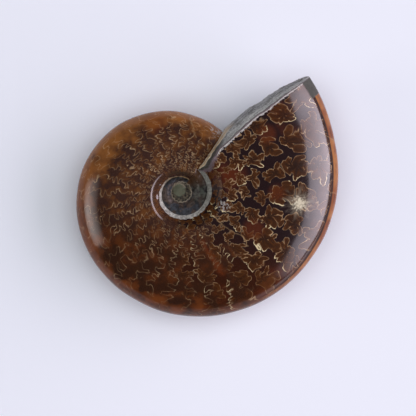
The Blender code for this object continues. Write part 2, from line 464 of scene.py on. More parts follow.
point_values[plane_ids] = last_values[-1, 1:-1][plane_feet]
point_values[fill_ids] = last_values[-1]
point_values[fill_ids, 4] = (1.0 - np.arange(FILL_ROWS)[:, None] / FILL_ROWS) ** FILL_SPREAD - 1.0
point_values[foot_chain[:-1], 4] = -1.0
rock_ids = np.concatenate([halved(corners(fill_ids)), foot_triangles])

patches = [
    (halved(corners(last_ids)), halved(corners(last_values)), POLISHED),
    (halved(corners(early_ids)), halved(corners(early_values)), FLOOR),
    (knob_ids, knob_values, FLOOR),
    (rock_ids, point_values[rock_ids], FILL),
]
triangles = np.concatenate([ids for ids, values, material in patches])
values = np.concatenate([values for ids, values, material in patches])
materials = np.concatenate([np.broadcast_to(material, len(ids)) for ids, values, material in patches])

is_real = (triangles != np.roll(triangles, 1, axis=1)).all(axis=1)
triangles, values, materials = triangles[is_real], values[is_real], materials[is_real]
print("triangles of the upper half:", len(triangles))


# %% [markdown]
# The other flank is the mirror image in the plane of the coil, so it is made by turning the heights over and
# taking each triangle's corners in the opposite order, which keeps the faces pointing outwards. Points on
# the plane are shared. Then the fossil is laid down: it rests tipped a little towards the thin side of the
# coil, and the place that it rests on is ground flat.

# %% Mirror the half and lay the fossil down
LEAN_DEG = 3.5
LEAN_TOWARDS_DEG = 248.0
GROUND_OFF = 0.4
HILL_WAVES = 14
WAVELENGTH = 7.5
WAVE_HEIGHT = 0.03
ROCK_SEEDS_AND_SIZES = ((2, 0.7), (3, 1.1), (4, 2.0))
ROCK_STEEPNESS = 0.035
ROUGH_RIM_AT = 0.06
ROUGH_RIM_FADE = 0.03
FLOOR_ROUGHNESS = 0.5
ON_PLANE = 1e-9


def turn_matrix(axis_deg, angle_deg):
    """Turns points about a level axis, by Rodrigues' formula: cosine times the unit matrix, plus sine times
    the axis's cross product, plus one less the cosine times the axis's outer product."""
    x, y = math.cos(math.radians(axis_deg)), math.sin(math.radians(axis_deg))
    cos, sin = math.cos(math.radians(angle_deg)), math.sin(math.radians(angle_deg))
    cross = np.array([[0.0, 0.0, y], [0.0, 0.0, -x], [-y, x, 0.0]])
    return cos * np.eye(3) + sin * cross + (1.0 - cos) * np.outer([x, y, 0.0], [x, y, 0.0])


on_plane = np.abs(half[:, 2]) < ON_PLANE
lower_ids = np.where(on_plane, np.arange(len(half)), np.arange(len(half)) + len(half))
whole = np.concatenate([half, half * (1.0, 1.0, -1.0)])
whole = whole @ turn_matrix(LEAN_TOWARDS_DEG + 90.0, LEAN_DEG).T
all_triangles = np.concatenate([triangles, lower_ids[triangles][:, ::-1]])
all_values = np.concatenate([values, values[:, ::-1]])
all_materials = np.concatenate([materials, materials])

used, all_triangles = np.unique(all_triangles, return_inverse=True)
all_triangles = all_triangles.reshape(-1, 3)
skin = whole[used]
low, high = skin.min(axis=0), skin.max(axis=0)
coil_height = -low[2] - GROUND_OFF
skin -= ((low[0] + high[0]) / 2.0, (low[1] + high[1]) / 2.0, -coil_height)
coil_centre = np.array([-(low[0] + high[0]) / 2.0, -(low[1] + high[1]) / 2.0, coil_height])
skin[:, 2] = np.maximum(skin[:, 2], 0.0)

roughness = np.zeros(len(half))
roughness[last_ids] = np.clip((ROUGH_RIM_AT - last_across) / ROUGH_RIM_FADE, 0.0, 1.0)
roughness[early_ids] = FLOOR_ROUGHNESS
roughness[cap_ids] = FLOOR_ROUGHNESS
roughness[fill_ids[1:]] = 1.0
roughness = np.concatenate([roughness, roughness])[used]


def hills(points, wavelength, seed):
    """Random hills of about the height one: sine waves that run in random directions, added up and divided by
    the root of half their number."""
    random = np.random.default_rng(seed)
    runs = random.normal(size=(3, HILL_WAVES))
    runs *= 2.0 * math.pi / wavelength / np.linalg.norm(runs, axis=0)
    waves = np.sin(points @ runs + random.uniform(0.0, 2.0 * math.pi, HILL_WAVES))
    return waves.sum(axis=1) / math.sqrt(HILL_WAVES / 2.0)


def outward(points, corners_of):
    """Direction away from the solid at each point: its triangles' cross products, added and made one long."""
    first, second, third = (points[corners_of[:, n]] for n in range(3))
    faces = np.repeat(np.cross(second - first, third - first), 3, axis=0)
    sums = np.stack([np.bincount(corners_of.ravel(), faces[:, n], len(points)) for n in range(3)], axis=1)
    return sums / np.linalg.norm(sums, axis=1, keepdims=True)


rise = hills(skin, WAVELENGTH, 1) * WAVE_HEIGHT * (1.0 - roughness)
rock_rise = sum(hills(skin, size, seed) * size for seed, size in ROCK_SEEDS_AND_SIZES)
rise += rock_rise * ROCK_STEEPNESS * roughness
skin += outward(skin, all_triangles) * rise[:, None]
skin[:, 2] = np.maximum(skin[:, 2], 0.0)

sides = np.sort(np.concatenate([all_triangles[:, pair] for pair in ([0, 1], [1, 2], [2, 0])]))
faces_at_side = np.unique(sides, axis=0, return_counts=True)[1]
a, b, c = (skin[all_triangles[:, n]] for n in range(3))
volume = (a * np.cross(b, c)).sum() / 6.0 * MM
print("sides with other than two faces:", int((faces_at_side != 2).sum()), "volume, cm3:", round(volume, 2))
print("size, mm:", (skin.max(axis=0) - skin.min(axis=0)).round(2), "coil centre at", coil_centre.round(2))


# %% [markdown]
# The arrays go into a Blender mesh in one call each. Values on the corners of the faces, and not on the
# points, let two turns meet in one point with different coordinates on either side of their seam.

# %% Make the mesh
SHARP_DEG = 40.0


def new_mesh(name, points_mm, ids):
    """A mesh of triangles from points in millimetres."""
    mesh = bpy.data.meshes.new(name)
    mesh.from_pydata(points_mm * MM, [], ids)
    mesh.shade_smooth()
    return mesh


def carry(mesh, name, per_corner):
    """Puts one value on each corner of each face, as an attribute that materials can read."""
    attribute = mesh.attributes.new(name, "FLOAT", "CORNER")
    attribute.data.foreach_set("value", per_corner.astype(np.float32).ravel())


skin_mesh = new_mesh("ammonite_skin", skin, all_triangles)
skin_mesh.polygons.foreach_set("material_index", all_materials.astype(np.int32))
coil_uv = skin_mesh.uv_layers.new(name="coil")
coil_uv.uv.foreach_set("vector", all_values[..., :2].astype(np.float32).ravel())
for n, name in enumerate(("across", "chamber", "to_lip")):
    carry(skin_mesh, name, all_values[..., 2 + n])
skin_mesh.set_sharp_from_angle(angle=math.radians(SHARP_DEG))

ammonite = bpy.data.objects.new("ammonite_skin", skin_mesh)
bpy.context.scene.collection.objects.link(ammonite)
print("faces:", len(skin_mesh.polygons), "attributes:", [a.name for a in skin_mesh.attributes][:8])


# %% [markdown]
# Finishes are built from nodes, and most of these hold formulas. A node tree drawn by hand is easy to read
# for five nodes and hard for fifty, so here a small helper stands for one output of a node, and plain
# arithmetic on it adds the nodes. The formulas below then read as formulas, and make the same tree as one
# drawn by hand.

# %% Arithmetic that makes nodes
COLUMN_OF_NODES = 12
NODE_WIDTH = 200.0
NODE_HEIGHT = 170.0


class Flow:
    """One output of a node. Arithmetic on it adds a math node and gives that node's output."""

    def __init__(self, socket):
        self.socket = socket
        self.tree = socket.id_data

    def __rsub__(self, other):
        return calc("SUBTRACT", other, self)

    def __abs__(self):
        return calc("ABSOLUTE", self)


for sign, operation in (("add", "ADD"), ("radd", "ADD"), ("sub", "SUBTRACT"), ("mul", "MULTIPLY"),
                        ("rmul", "MULTIPLY"), ("truediv", "DIVIDE"), ("pow", "POWER")):
    setattr(Flow, f"__{sign}__", lambda flow, other, operation=operation: calc(operation, flow, other))


def add_node(tree, kind, **settings):
    """A node of a kind, set down beside the ones before it."""
    node = tree.nodes.new(kind)
    count = len(tree.nodes)
    node.location = (count // COLUMN_OF_NODES * NODE_WIDTH, -(count % COLUMN_OF_NODES) * NODE_HEIGHT)
    for name, value in settings.items():
        setattr(node, name, value)
    return node


def plug(value, socket):
    """Feeds a socket: a flow is linked to it, and a plain value is set on it."""
    if isinstance(value, Flow):
        value.tree.links.new(value.socket, socket)
    else:
        socket.default_value = value


def calc(operation, *parts):
    """A math node on up to three flows or numbers, at least one of them a flow."""
    tree = next(part.tree for part in parts if isinstance(part, Flow))
    node = add_node(tree, "ShaderNodeMath", operation=operation)
    for part, socket in zip(parts, node.inputs):
        plug(part, socket)
    return Flow(node.outputs[0])


def vector_calc(operation, first, second):
    """A vector math node on two vectors. A distance or a dot product comes out as a number."""
    node = add_node(first.tree, "ShaderNodeVectorMath", operation=operation)
    plug(first, node.inputs[0])
    plug(second, node.inputs[1])
    gives_number = operation in ("DISTANCE", "DOT_PRODUCT", "LENGTH")
    return Flow(node.outputs["Value" if gives_number else "Vector"])


def scaled(vector, factor):
    """A vector times a number, which may be a flow."""
    node = add_node(vector.tree, "ShaderNodeVectorMath", operation="SCALE")
    plug(vector, node.inputs[0])
    plug(factor, node.inputs["Scale"])
    return Flow(node.outputs["Vector"])


def split(vector):
    """The three parts of a vector."""
    node = add_node(vector.tree, "ShaderNodeSeparateXYZ")
    plug(vector, node.inputs[0])
    return [Flow(socket) for socket in node.outputs]


def join(x, y, z=0.0):
    """A vector from three parts, the first of them a flow."""
    node = add_node(x.tree, "ShaderNodeCombineXYZ")
    for part, socket in zip((x, y, z), node.inputs):
        plug(part, socket)
    return Flow(node.outputs[0])


def sine(x):
    """Sine of an angle in radians."""
    return calc("SINE", x)


def most(first, *others):
    """The largest of several flows."""
    for other in others:
        first = calc("MAXIMUM", first, other)
    return first


def ramp(x, start, end):
    """0 at the start and 1 at the end, with a level start and end. The start may be the larger one."""
    node = add_node(x.tree, "ShaderNodeMapRange", interpolation_type="SMOOTHSTEP")
    is_rising = start < end
    for value, name in ((x, "Value"), (min(start, end), "From Min"), (max(start, end), "From Max"),
                        (0.0 if is_rising else 1.0, "To Min"), (1.0 if is_rising else 0.0, "To Max")):
        plug(value, node.inputs[name])
    return Flow(node.outputs["Result"])


def bell(x, half_width):
    """1 at zero, falling off on both sides: e to the minus square of x over its half width."""
    share = x / half_width
    return calc("EXPONENT", share * share * -1.0)


def noise(vector, scale, detail=2.0, shift=(0.0, 0.0, 0.0), flat=False):
    """Soft random hills from 0 to 1, about 0.5 on average. A shift gives another set of hills."""
    moved = vector_calc("ADD", vector, shift)
    node = add_node(vector.tree, "ShaderNodeTexNoise", noise_dimensions="2D" if flat else "3D")
    for value, name in ((moved, "Vector"), (scale, "Scale"), (detail, "Detail")):
        plug(value, node.inputs[name])
    return Flow(node.outputs["Fac"])


def paint(share, under, over):
    """A colour laid over another by a share. Either may be a flow or a plain colour."""
    tree = next(part.tree for part in (share, under, over) if isinstance(part, Flow))
    node = add_node(tree, "ShaderNodeMix", data_type="RGBA")
    plug(share, node.inputs[0])
    for value, n in ((under, 6), (over, 7)):
        plug(value if isinstance(value, Flow) else (*value, 1.0), node.inputs[n])
    return Flow(node.outputs[2])


def coats(colour, *layers):
    """A colour with layers over it. Each layer is a share and the colour that it lays on."""
    for share, over in layers:
        colour = paint(share, colour, over)
    return colour


def object_place(tree):
    """The place on the object in millimetres."""
    return scaled(Flow(add_node(tree, "ShaderNodeTexCoord").outputs["Object"]), 1.0 / MM)


def coil_place(tree):
    """The place on the coil map."""
    return Flow(add_node(tree, "ShaderNodeUVMap", uv_map="coil").outputs["UV"])


def carried(tree, name):
    """A value that the mesh carries."""
    return Flow(add_node(tree, "ShaderNodeAttribute", attribute_name=name).outputs["Fac"])


# %% Groups and materials
FLOAT, VECTOR = "NodeSocketFloat", "NodeSocketVector"


def new_group(name, inputs, outputs):
    """An empty node group with named sockets. Gives the group and its inputs as flows by name."""
    group = bpy.data.node_groups.new(name, "ShaderNodeTree")
    for socket_name, kind in inputs.items():
        group.interface.new_socket(name=socket_name, in_out="INPUT", socket_type=kind)
    for socket_name, kind in outputs.items():
        group.interface.new_socket(name=socket_name, in_out="OUTPUT", socket_type=kind)
    entry = add_node(group, "NodeGroupInput")
    return group, {socket_name: Flow(entry.outputs[socket_name]) for socket_name in inputs}


def end_group(group, **results):
    """Feeds the outputs of a group. Underscores in the names stand for spaces."""
    end = add_node(group, "NodeGroupOutput")
    for name, value in results.items():
        plug(value, end.inputs[name.replace("_", " ")])
    print("group", group.name, "has", len(group.nodes), "nodes")
    return group


def use(tree, group, **values):
    """Places a group in a tree with its own values, and gives its outputs as flows by name."""
    node = add_node(tree, "ShaderNodeGroup", node_tree=group)
    for name, value in values.items():
        plug(value, node.inputs[name.replace("_", " ")])
    return {socket.name: Flow(socket) for socket in node.outputs}


def new_material(name):
    """A material with its Principled BSDF."""
    material = bpy.data.materials.new(name)
    material.use_nodes = True
    return material, material.node_tree, material.node_tree.nodes["Principled BSDF"]


print("helpers ready")


# %% [markdown]
# The suture is where a crumpled chamber wall met the shell. It frills into a row of leaves, each with
# rounded lobes and smaller knobs on the lobes. It could be drawn as a curve for each chamber, which would be
# thousands of points by hand. Here it is a field instead: a number that is positive inside a leaf, negative
# on the bare ground and zero on the line. The coil map is cut into cells, one row of them for each chamber,
# and each cell holds a leaf whose radius swells and shrinks with direction. Soft noise bends the whole, and
# dice thrown for each cell turn the leaf and pick its number of lobes, so that no two are alike.

# %% Group: leaf field
LEAF_WIDTH = 0.9
WALL_WAVE = 2.3
WALL_SWING = 0.14
ROW_SLIDE = 7.3
HEART_RADIUS = 0.085
LOBE_LENGTH = 0.31
LOBE_ROUNDING = 0.55
FRILL_LENGTH = 0.02
NECK_HALF_WIDTH = 0.04


def drifted(coil, scale, amount, shift):
    """The coil map pushed about by soft noise, by about a sixth of the amount."""
    u, v, _ = split(coil)
    u = u + (noise(coil, scale, 1.0, shift, flat=True) - 0.5) * amount[0]
    v = v + (noise(coil, scale, 1.0, shift[::-1], flat=True) - 0.5) * amount[1]
    return join(u, v)


def dice(place, dimensions):
    """Three random numbers from 0 to 1 that stay the same for the same place."""
    node = add_node(place.tree, "ShaderNodeTexWhiteNoise", noise_dimensions=dimensions)
    plug(place, node.inputs["W" if dimensions == "1D" else "Vector"])
    return split(Flow(node.outputs["Color"]))


def make_leaf_field():
    """Roughly how far inside a leaf a place on the coil map is, in chambers, how near the leaf's pointed end,
    and a number drawn for the leaf. Its radius follows the sine of half its lobes times the angle."""
    group, given = new_group("Leaf field", {"Coil": VECTOR}, {"Field": FLOAT, "Tip": FLOAT, "Lot": FLOAT})
    u, v, _ = split(given["Coil"])
    along = u + sine(v * (2.0 * math.pi / WALL_WAVE)) * WALL_SWING
    row = calc("FLOOR", along)
    slid, _, _ = dice(row, "1D")
    across = v / LEAF_WIDTH + slid * ROW_SLIDE
    leaf = calc("FLOOR", across)
    turned, picked, lot = dice(join(row, leaf), "2D")
    x = along - row - 0.5
    y = (across - leaf - 0.5) * LEAF_WIDTH
    angle = calc("ARCTAN2", y, x)
    reach = (x * x + y * y) ** 0.5
    half_lobes = calc("FLOOR", picked * 3.0) * 0.5 + 2.5
    lobes = abs(sine(angle * half_lobes + turned * math.pi)) ** LOBE_ROUNDING
    frill = abs(sine(angle * half_lobes * 3.0 + turned * math.pi * 3.0))
    radius = (lobes * LOBE_LENGTH + frill * FRILL_LENGTH + HEART_RADIUS) * (lot * 0.2 + 1.0)
    neck = NECK_HALF_WIDTH - abs(x + 0.1)
    return end_group(group, Field=most(radius - reach, neck), Tip=ramp(x, -0.25, -0.4), Lot=lot)


leaf_field = make_leaf_field()


# %% [markdown]
# Knobs are round, so they are drawn as discs: the coil map is strewn with points, and each point that falls
# inside a leaf gets a disc. The leaf is then the discs and everything between them. Only the two nearest
# points matter.

# %% Group: suture
BROAD_DRIFT = 1.5
FINE_DRIFT = 5.0
KNOBS_PER_CHAMBER = 5.2
KNOB_RADIUS = 0.62
KNOB_SCATTER = 0.75
LEAF_MARGIN = 0.08


def make_suture():
    """How far inside a leaf, in chambers, how near its pointed end, and the number drawn for the leaf."""
    group, given = new_group("Suture", {"Coil": VECTOR}, {"Inside": FLOAT, "Tip": FLOAT, "Lot": FLOAT})
    coil = drifted(given["Coil"], BROAD_DRIFT, (0.45, 0.6), (5.2, 1.3, 0.0))
    coil = drifted(coil, FINE_DRIFT, (0.10, 0.10), (9.7, 4.1, 0.0))
    here = use(group, leaf_field, Coil=coil)
    inside = here["Field"] - LEAF_MARGIN
    for feature in ("F1", "F2"):
        points = add_node(group, "ShaderNodeTexVoronoi", voronoi_dimensions="2D", feature=feature)
        plug(coil, points.inputs["Vector"])
        points.inputs["Scale"].default_value = KNOBS_PER_CHAMBER
        points.inputs["Randomness"].default_value = KNOB_SCATTER
        disc = (KNOB_RADIUS - Flow(points.outputs["Distance"])) / KNOBS_PER_CHAMBER
        centre = use(group, leaf_field, Coil=Flow(points.outputs["Position"]))["Field"]
        is_bare = calc("LESS_THAN", centre, 0.0)
        inside = most(inside, disc - is_bare)
    return end_group(group, Inside=inside, Tip=here["Tip"], Lot=here["Lot"])


suture = make_suture()


# %% [markdown]
# On the older part of the turn the sutures are single lines that swing to and fro like a meander, with fewer
# leaves. The swing is a sine with its third harmonic, which rounds and fattens the heads. Dividing by the
# steepness of the curve turns the height above it into a distance, so the line keeps one width.

# %% Group: meander
MEANDER_CROWDING = 1.35
MEANDER_WIDTH = 0.62
MEANDER_SWING = 0.26
HEAD_FATNESS = 0.25


def make_meander():
    """How far behind the nearest meandering suture, in chambers, and how much of it shows."""
    group, given = new_group("Meander", {"Coil": VECTOR}, {"Behind": FLOAT, "Shown": FLOAT})
    coil = drifted(scaled(given["Coil"], MEANDER_CROWDING), 1.0, (1.1, 1.1), (2.2, 7.3, 0.0))
    coil = drifted(coil, 4.0, (0.16, 0.16), (6.7, 1.1, 0.0))
    along, v, _ = split(coil)
    row = calc("FLOOR", along)
    ahead = along - row - 0.5
    slid, _, _ = dice(row, "1D")
    angle = (v / MEANDER_WIDTH + slid * ROW_SLIDE) * (2.0 * math.pi)
    swing = sine(angle) + sine(angle * 3.0) * HEAD_FATNESS
    slope = sine(angle + math.pi / 2.0) + sine(angle * 3.0 + math.pi / 2.0) * (3.0 * HEAD_FATNESS)
    slope = slope * (MEANDER_SWING * 2.0 * math.pi / MEANDER_WIDTH)
    behind = (swing * MEANDER_SWING + sine(angle * 0.27) * 0.12 - ahead) / (slope * slope + 1.0) ** 0.5
    behind = behind / MEANDER_CROWDING
    return end_group(group, Behind=behind, Shown=ramp(abs(ahead), 0.5, 0.44))


meander = make_meander()


# %% [markdown]
# Rock, broken edges and chalky patches share one look: grains of a few tenths of a millimetre, some light and
# some dark, with softer blotches. That is a group of its own, and each material sets its size.

# %% Group: rough rock
def make_rough_rock():
    """Grain and blotches from 0 to 1, and a height for bumps."""
    group, given = new_group("Rough rock", {"Place": VECTOR, "Grain size": FLOAT, "Blotch size": FLOAT},
                             {"Grain": FLOAT, "Blotch": FLOAT, "Height": FLOAT})
    per_grain = calc("DIVIDE", 1.0, given["Grain size"])
    per_blotch = calc("DIVIDE", 1.0, given["Blotch size"])
    grain = noise(given["Place"], per_grain, 3.0)
    blotch = noise(given["Place"], per_blotch, 3.0, (17.0, 5.0, 3.0))
    return end_group(group, Grain=ramp(grain, 0.3, 0.7), Blotch=ramp(blotch, 0.35, 0.65),
                     Height=grain * 0.7 + blotch * 0.3)


rough_rock = make_rough_rock()


# %% [markdown]
# A crack is a pale line that wanders from one point to another. Its group gives the distance to a straight
# line between the two, in a plane seen from above, after soft noise has pushed the place about.

# %% Group: crack
CRACK_WANDER = 1.4


def make_crack():
    """Distance in millimetres to a crack between two points, seen from above."""
    group, given = new_group("Crack", {"Place": VECTOR, "From": VECTOR, "To": VECTOR}, {"Distance": FLOAT})
    x, y, _ = split(given["Place"])
    x = x + (noise(given["Place"], 0.6, 3.0, (4.0, 0.0, 9.0)) - 0.5) * CRACK_WANDER
    y = y + (noise(given["Place"], 0.6, 3.0, (0.0, 6.0, 2.0)) - 0.5) * CRACK_WANDER
    from_start = vector_calc("SUBTRACT", join(x, y), given["From"])
    whole = vector_calc("SUBTRACT", given["To"], given["From"])
    share = vector_calc("DOT_PRODUCT", from_start, whole) / vector_calc("DOT_PRODUCT", whole, whole)
    nearest = scaled(whole, calc("MINIMUM", most(share, 0.0), 1.0))
    return end_group(group, Distance=vector_calc("DISTANCE", from_start, nearest))


crack = make_crack()


# %% [markdown]
# The polished flank is brown calcite under a glassy polish. Its finishes run into each other without a step,
# so it is one material with masks. The colour is laid on in layers, one function for each. They share the
# same readings, which are taken once: where a point lies on the fossil and on the coil, and the soft noises
# that mottle the stone there. Colours are linear, and angles are degrees along the coil.

# %% Readings for the polished calcite
BOLD_DEG = (250.0, 320.0)
STRIP_DEG = (295.0, 330.0)
FRONT_MM = (-3.0, -15.0)


def read_flank(tree):
    """Places in millimetres, the turn in degrees, and masks and noises from 0 to 1."""
    coil = coil_place(tree)
    place = object_place(tree)
    x, y, height = split(place)
    turn = split(coil)[0] * CHAMBER_DEG
    return SimpleNamespace(
        tree=tree, coil=coil, place=place, flat_place=join(x, y), x=x, turn=turn,
        across=carried(tree, "across"), chamber=carried(tree, "chamber"), to_lip=carried(tree, "to_lip"),
        upper=ramp(height, coil_height, coil_height + 1.0),
        front=ramp(y + x * 0.25, *FRONT_MM),
        bold=ramp(turn, *BOLD_DEG),
        strip=ramp(turn, *STRIP_DEG),
        rock=use(tree, rough_rock, Place=place, Grain_size=0.45, Blotch_size=1.6),
        clouds=noise(place, 0.10, 3.0, (3.0, 8.0, 0.0)),
        patchy=noise(place, 0.34, 4.0, (9.0, 2.0, 4.0)),
        bright=ramp(noise(place, 0.45, 3.0, (1.0, 2.0, 6.0)), 0.38, 0.72),
    )


print("lines are bold past", BOLD_DEG[1], "degrees, and the strip is whole past", STRIP_DEG[1])


# %% [markdown]
# Near the lip the ground between the leaves is nearly black, violet at the back and red at the front, with
# warm clouds in it. A leaf is amber next to its line and darker in its heart. On the older part the lines
# wind over mottled brown and amber: the stone glows behind each line and is shaded before it.

# %% Layers: leaves and meanders
GROUND_VIOLET = (0.016, 0.0070, 0.0072)
GROUND_RED = (0.034, 0.0080, 0.0022)
CLOUD_RED = (0.105, 0.020, 0.004)
LEAF_AMBER = (0.088, 0.028, 0.005)
LEAF_BROWN = (0.092, 0.040, 0.013)
LEAF_HEART = (0.026, 0.011, 0.004)
LINE_HALF_WIDTH = 0.065
AMBER_DEPTH = 0.46
BROWN_LEAF_DEG = (320.0, 220.0)

OLD_BROWN = (0.070, 0.0245, 0.010)
OLD_AMBER = (0.165, 0.060, 0.012)
OLD_SHADE = (0.044, 0.0180, 0.012)
OLD_DEEP = (0.031, 0.009, 0.002)
OLD_RED = (0.086, 0.019, 0.003)
OLD_HALF_WIDTH = 0.060
GLOW_DEPTH = 0.5
SHADE_DEPTH = 0.7


def leafy_calcite(at):
    """Colour of the ground and the leaves, their line, and a mask of pointed ends. The amber fades inwards as
    e to the minus distance over its depth."""
    leaf = use(at.tree, suture, Coil=at.coil)
    to_line = leaf["Inside"] * at.chamber
    inside = ramp(to_line, -0.05, 0.05)
    amber = calc("EXPONENT", to_line / -AMBER_DEPTH) * inside
    brown = ramp(at.turn, *BROWN_LEAF_DEG) * (1.0 - at.front)
    ground = paint(at.front, GROUND_VIOLET, GROUND_RED)
    ground = paint(ramp(at.clouds, 0.5, 0.72) * 0.8, ground, CLOUD_RED)
    colour = coats(
        ground,
        (inside, paint(0.5, ground, LEAF_HEART)),
        (amber, paint(brown, LEAF_AMBER, LEAF_BROWN)),
    )
    return colour, bell(to_line, LINE_HALF_WIDTH), leaf["Tip"] * ramp(leaf["Lot"], 0.35, 0.45)


def meandering_calcite(at):
    """Colour of the older part, and its line. Glow and shade fade as e to the minus distance over depth."""
    wave = use(at.tree, meander, Coil=at.coil)
    to_line = wave["Behind"] * at.chamber
    glow = calc("EXPONENT", to_line / -GLOW_DEPTH) * ramp(to_line, -0.05, 0.05) * wave["Shown"]
    shade = calc("EXPONENT", to_line / SHADE_DEPTH) * ramp(to_line, 0.05, -0.05) * wave["Shown"]
    colour = coats(
        OLD_SHADE,
        (ramp(at.patchy, 0.42, 0.6), OLD_BROWN),
        (ramp(at.patchy, 0.52, 0.70) * 0.6, OLD_AMBER),
        (glow * 0.4, OLD_AMBER),
        (shade * 0.5, OLD_SHADE),
        (at.front * 0.8, paint(ramp(at.patchy, 0.42, 0.66) * 0.8, OLD_DEEP, OLD_RED)),
        (ramp(at.across, 0.32, 0.12) * ramp(at.patchy, 0.60, 0.42) * 0.6, OLD_SHADE),
    )
    return colour, bell(to_line, OLD_HALF_WIDTH) * wave["Shown"]


print("half the width of a line, mm:", LINE_HALF_WIDTH, "on leaves,", OLD_HALF_WIDTH, "on meanders")


# %% [markdown]
# One pattern runs into the other along a wandering border. Towards the venter, the outer edge, the shell
# thins out, and the orange stone there is painted brighter: a painted glow for light that comes through the
# thin edge. Past STRIP_AT the shell is gone near the lip, and leaves a bare strip of orange and amber, set
# off by a dark line.

# %% Layers: the whole pattern and the venter
LINE_GOLD = (0.62, 0.43, 0.235)
TIP_GOLD_AND_HIGHLIGHT = (0.85, 0.72, 0.42)
VENTER_ORANGE = (0.225, 0.060, 0.013)
EDGE_AMBER_AND_GLOW = (0.36, 0.135, 0.032)
LEAFY_DEG = (280.0, 300.0)
BORDER_WANDER_DEG = 160.0
AMBER_EDGE_DEG = (200.0, 150.0)
STRIP_AT = 0.957
STREAK_AT = 0.982
THIN_STREAK = 0.006


def patterned_calcite(at):
    """Colour with both patterns, the painted glow of the edge and golden lines, whose pointed ends are partly
    pale shell and partly a painted highlight, and a mask of the lines.
    """
    wander = (noise(at.place, 0.25, 1.0, (7.0, 1.0, 0.0)) - 0.5) * BORDER_WANDER_DEG
    leafy = ramp(at.turn + wander, *LEAFY_DEG)
    leaf_colour, leaf_line, tip = leafy_calcite(at)
    old_colour, old_line = meandering_calcite(at)
    line = leaf_line * leafy + old_line * (1.0 - leafy)
    # Painted glow: towards the venter the stone is painted brighter orange and amber, for light that comes
    # through the thin edge.
    reach = ramp(at.turn, 220.0, 150.0) * 0.05 - ramp(at.turn, 200.0, 250.0) * 0.06
    glow = ramp(at.across + (at.patchy - 0.5) * 0.6 + reach, 0.74, 1.0) * (0.66 - at.bold * 0.46)
    shown = (at.bright * 0.62 + 0.22) * (at.bold * 0.15 + 0.76) * ramp(at.across, 0.03, 0.24)
    colour = coats(
        old_colour,
        (leafy, leaf_colour),
        (glow, paint(ramp(at.turn, *AMBER_EDGE_DEG), VENTER_ORANGE, EDGE_AMBER_AND_GLOW)),
        (line * shown * (1.0 - at.front * 0.3), LINE_GOLD),
        # Pale gold on the pointed ends of the bold lines: partly pale shell, partly a painted highlight where
        # light catches the edge of the wall.
        (tip * line * at.bold, TIP_GOLD_AND_HIGHLIGHT),
    )
    return colour, line


def with_strip(at, colour):
    """The bare strip along the venter."""
    tint = noise(at.place, 0.18, 2.0, (4.0, 6.0, 1.0))
    tint = paint(ramp(tint, 0.42, 0.6), VENTER_ORANGE, EDGE_AMBER_AND_GLOW)
    tint = paint(bell(at.across - STREAK_AT, THIN_STREAK) * at.bright, tint, CLOUD_RED)
    return coats(
        colour,
        (ramp(at.across, STRIP_AT, STRIP_AT + 0.008) * at.strip * 0.9, tint),
        (bell(at.across - (STRIP_AT - 0.001), THIN_STREAK) * at.strip * 0.9, GROUND_VIOLET),
    )


print("the strip starts at", STRIP_AT, "of the way across the flank")


# %% [markdown]
# Some marks are there only once: red stains, pale cracks, grey dust that sits in the grain, and a chalky
# star with fine rays. Their places are given in millimetres from the origin, and they lie on the
# upper flank.

# %% Layers: stains, cracks, dust and the chalky star
STAIN_RED = (0.15, 0.030, 0.005)
CRACK_TAN = (0.33, 0.21, 0.10)
DUST_GREY = (0.42, 0.40, 0.38)
CHALK = (0.66, 0.60, 0.44)
CHALK_VEIL = (0.36, 0.30, 0.22)
CHALK_CENTRE = (19.1, -1.3, 0.0)
STREAK_HALF_WIDTH = 0.6
CRACK_HALF_WIDTH = 0.13
STREAK = ((-0.9, -9.4, 0.0), (3.2, -15.8, 0.0))
STAINS = (
    ((14.5, 0.9, 0.0), 2.2),
    ((12.6, 13.1, 0.0), 2.4),
    ((-11.0, 15.7, 0.0), 3.5),
    ((9.5, -6.8, 0.0), 2.6),
)
DUST = (
    ((2.6, 13.5, 0.0), 1.9),
    ((3.6, -1.7, 0.0), 2.0),
    ((0.8, 14.1, 0.0), 1.0),
)
CRACKS = (
    ((0.6, -3.4, 0.0), (2.9, -5.7, 0.0)),
    ((2.9, -5.7, 0.0), (7.3, -8.0, 0.0)),
    ((7.3, -8.0, 0.0), (8.6, -10.3, 0.0)),
    ((-3.6, 16.6, 0.0), (-2.3, 12.4, 0.0)),
    ((22.9, 13.7, 0.0), (26.8, 11.7, 0.0)),
    ((25.8, 0.9, 0.0), (27.6, 0.8, 0.0)),
)


def near_crack(at, ends, half_width):
    """A mask along the wandering line between two points."""
    near = use(at.tree, crack, Place=at.place, From=ends[0], To=ends[1])["Distance"]
    return bell(near, half_width) * at.upper


def with_marks(at, colour, line):
    """Stains, which spare the golden line in part, then cracks and dust."""
    for centre, radius in STAINS:
        near = vector_calc("DISTANCE", at.flat_place, centre) + (at.clouds - 0.5) * 3.0
        stain = ramp(near, radius, radius * 0.3) * at.upper * (1.0 - line * 0.5)
        colour = paint(stain * 0.4, colour, STAIN_RED)
    colour = paint(near_crack(at, STREAK, STREAK_HALF_WIDTH) * (1.0 - line * 0.6) * 0.5, colour, STAIN_RED)
    for ends in CRACKS:
        colour = paint(near_crack(at, ends, CRACK_HALF_WIDTH) * (at.bright * 0.5 + 0.3), colour, CRACK_TAN)
    for centre, radius in DUST:
        near = vector_calc("DISTANCE", at.flat_place, centre)
        dust = ramp(at.rock["Grain"] - near / radius * 0.5, 0.25, 0.6) * ramp(near, radius, radius * 0.4)
        colour = paint(dust * at.upper * 0.6, colour, DUST_GREY)
    return colour


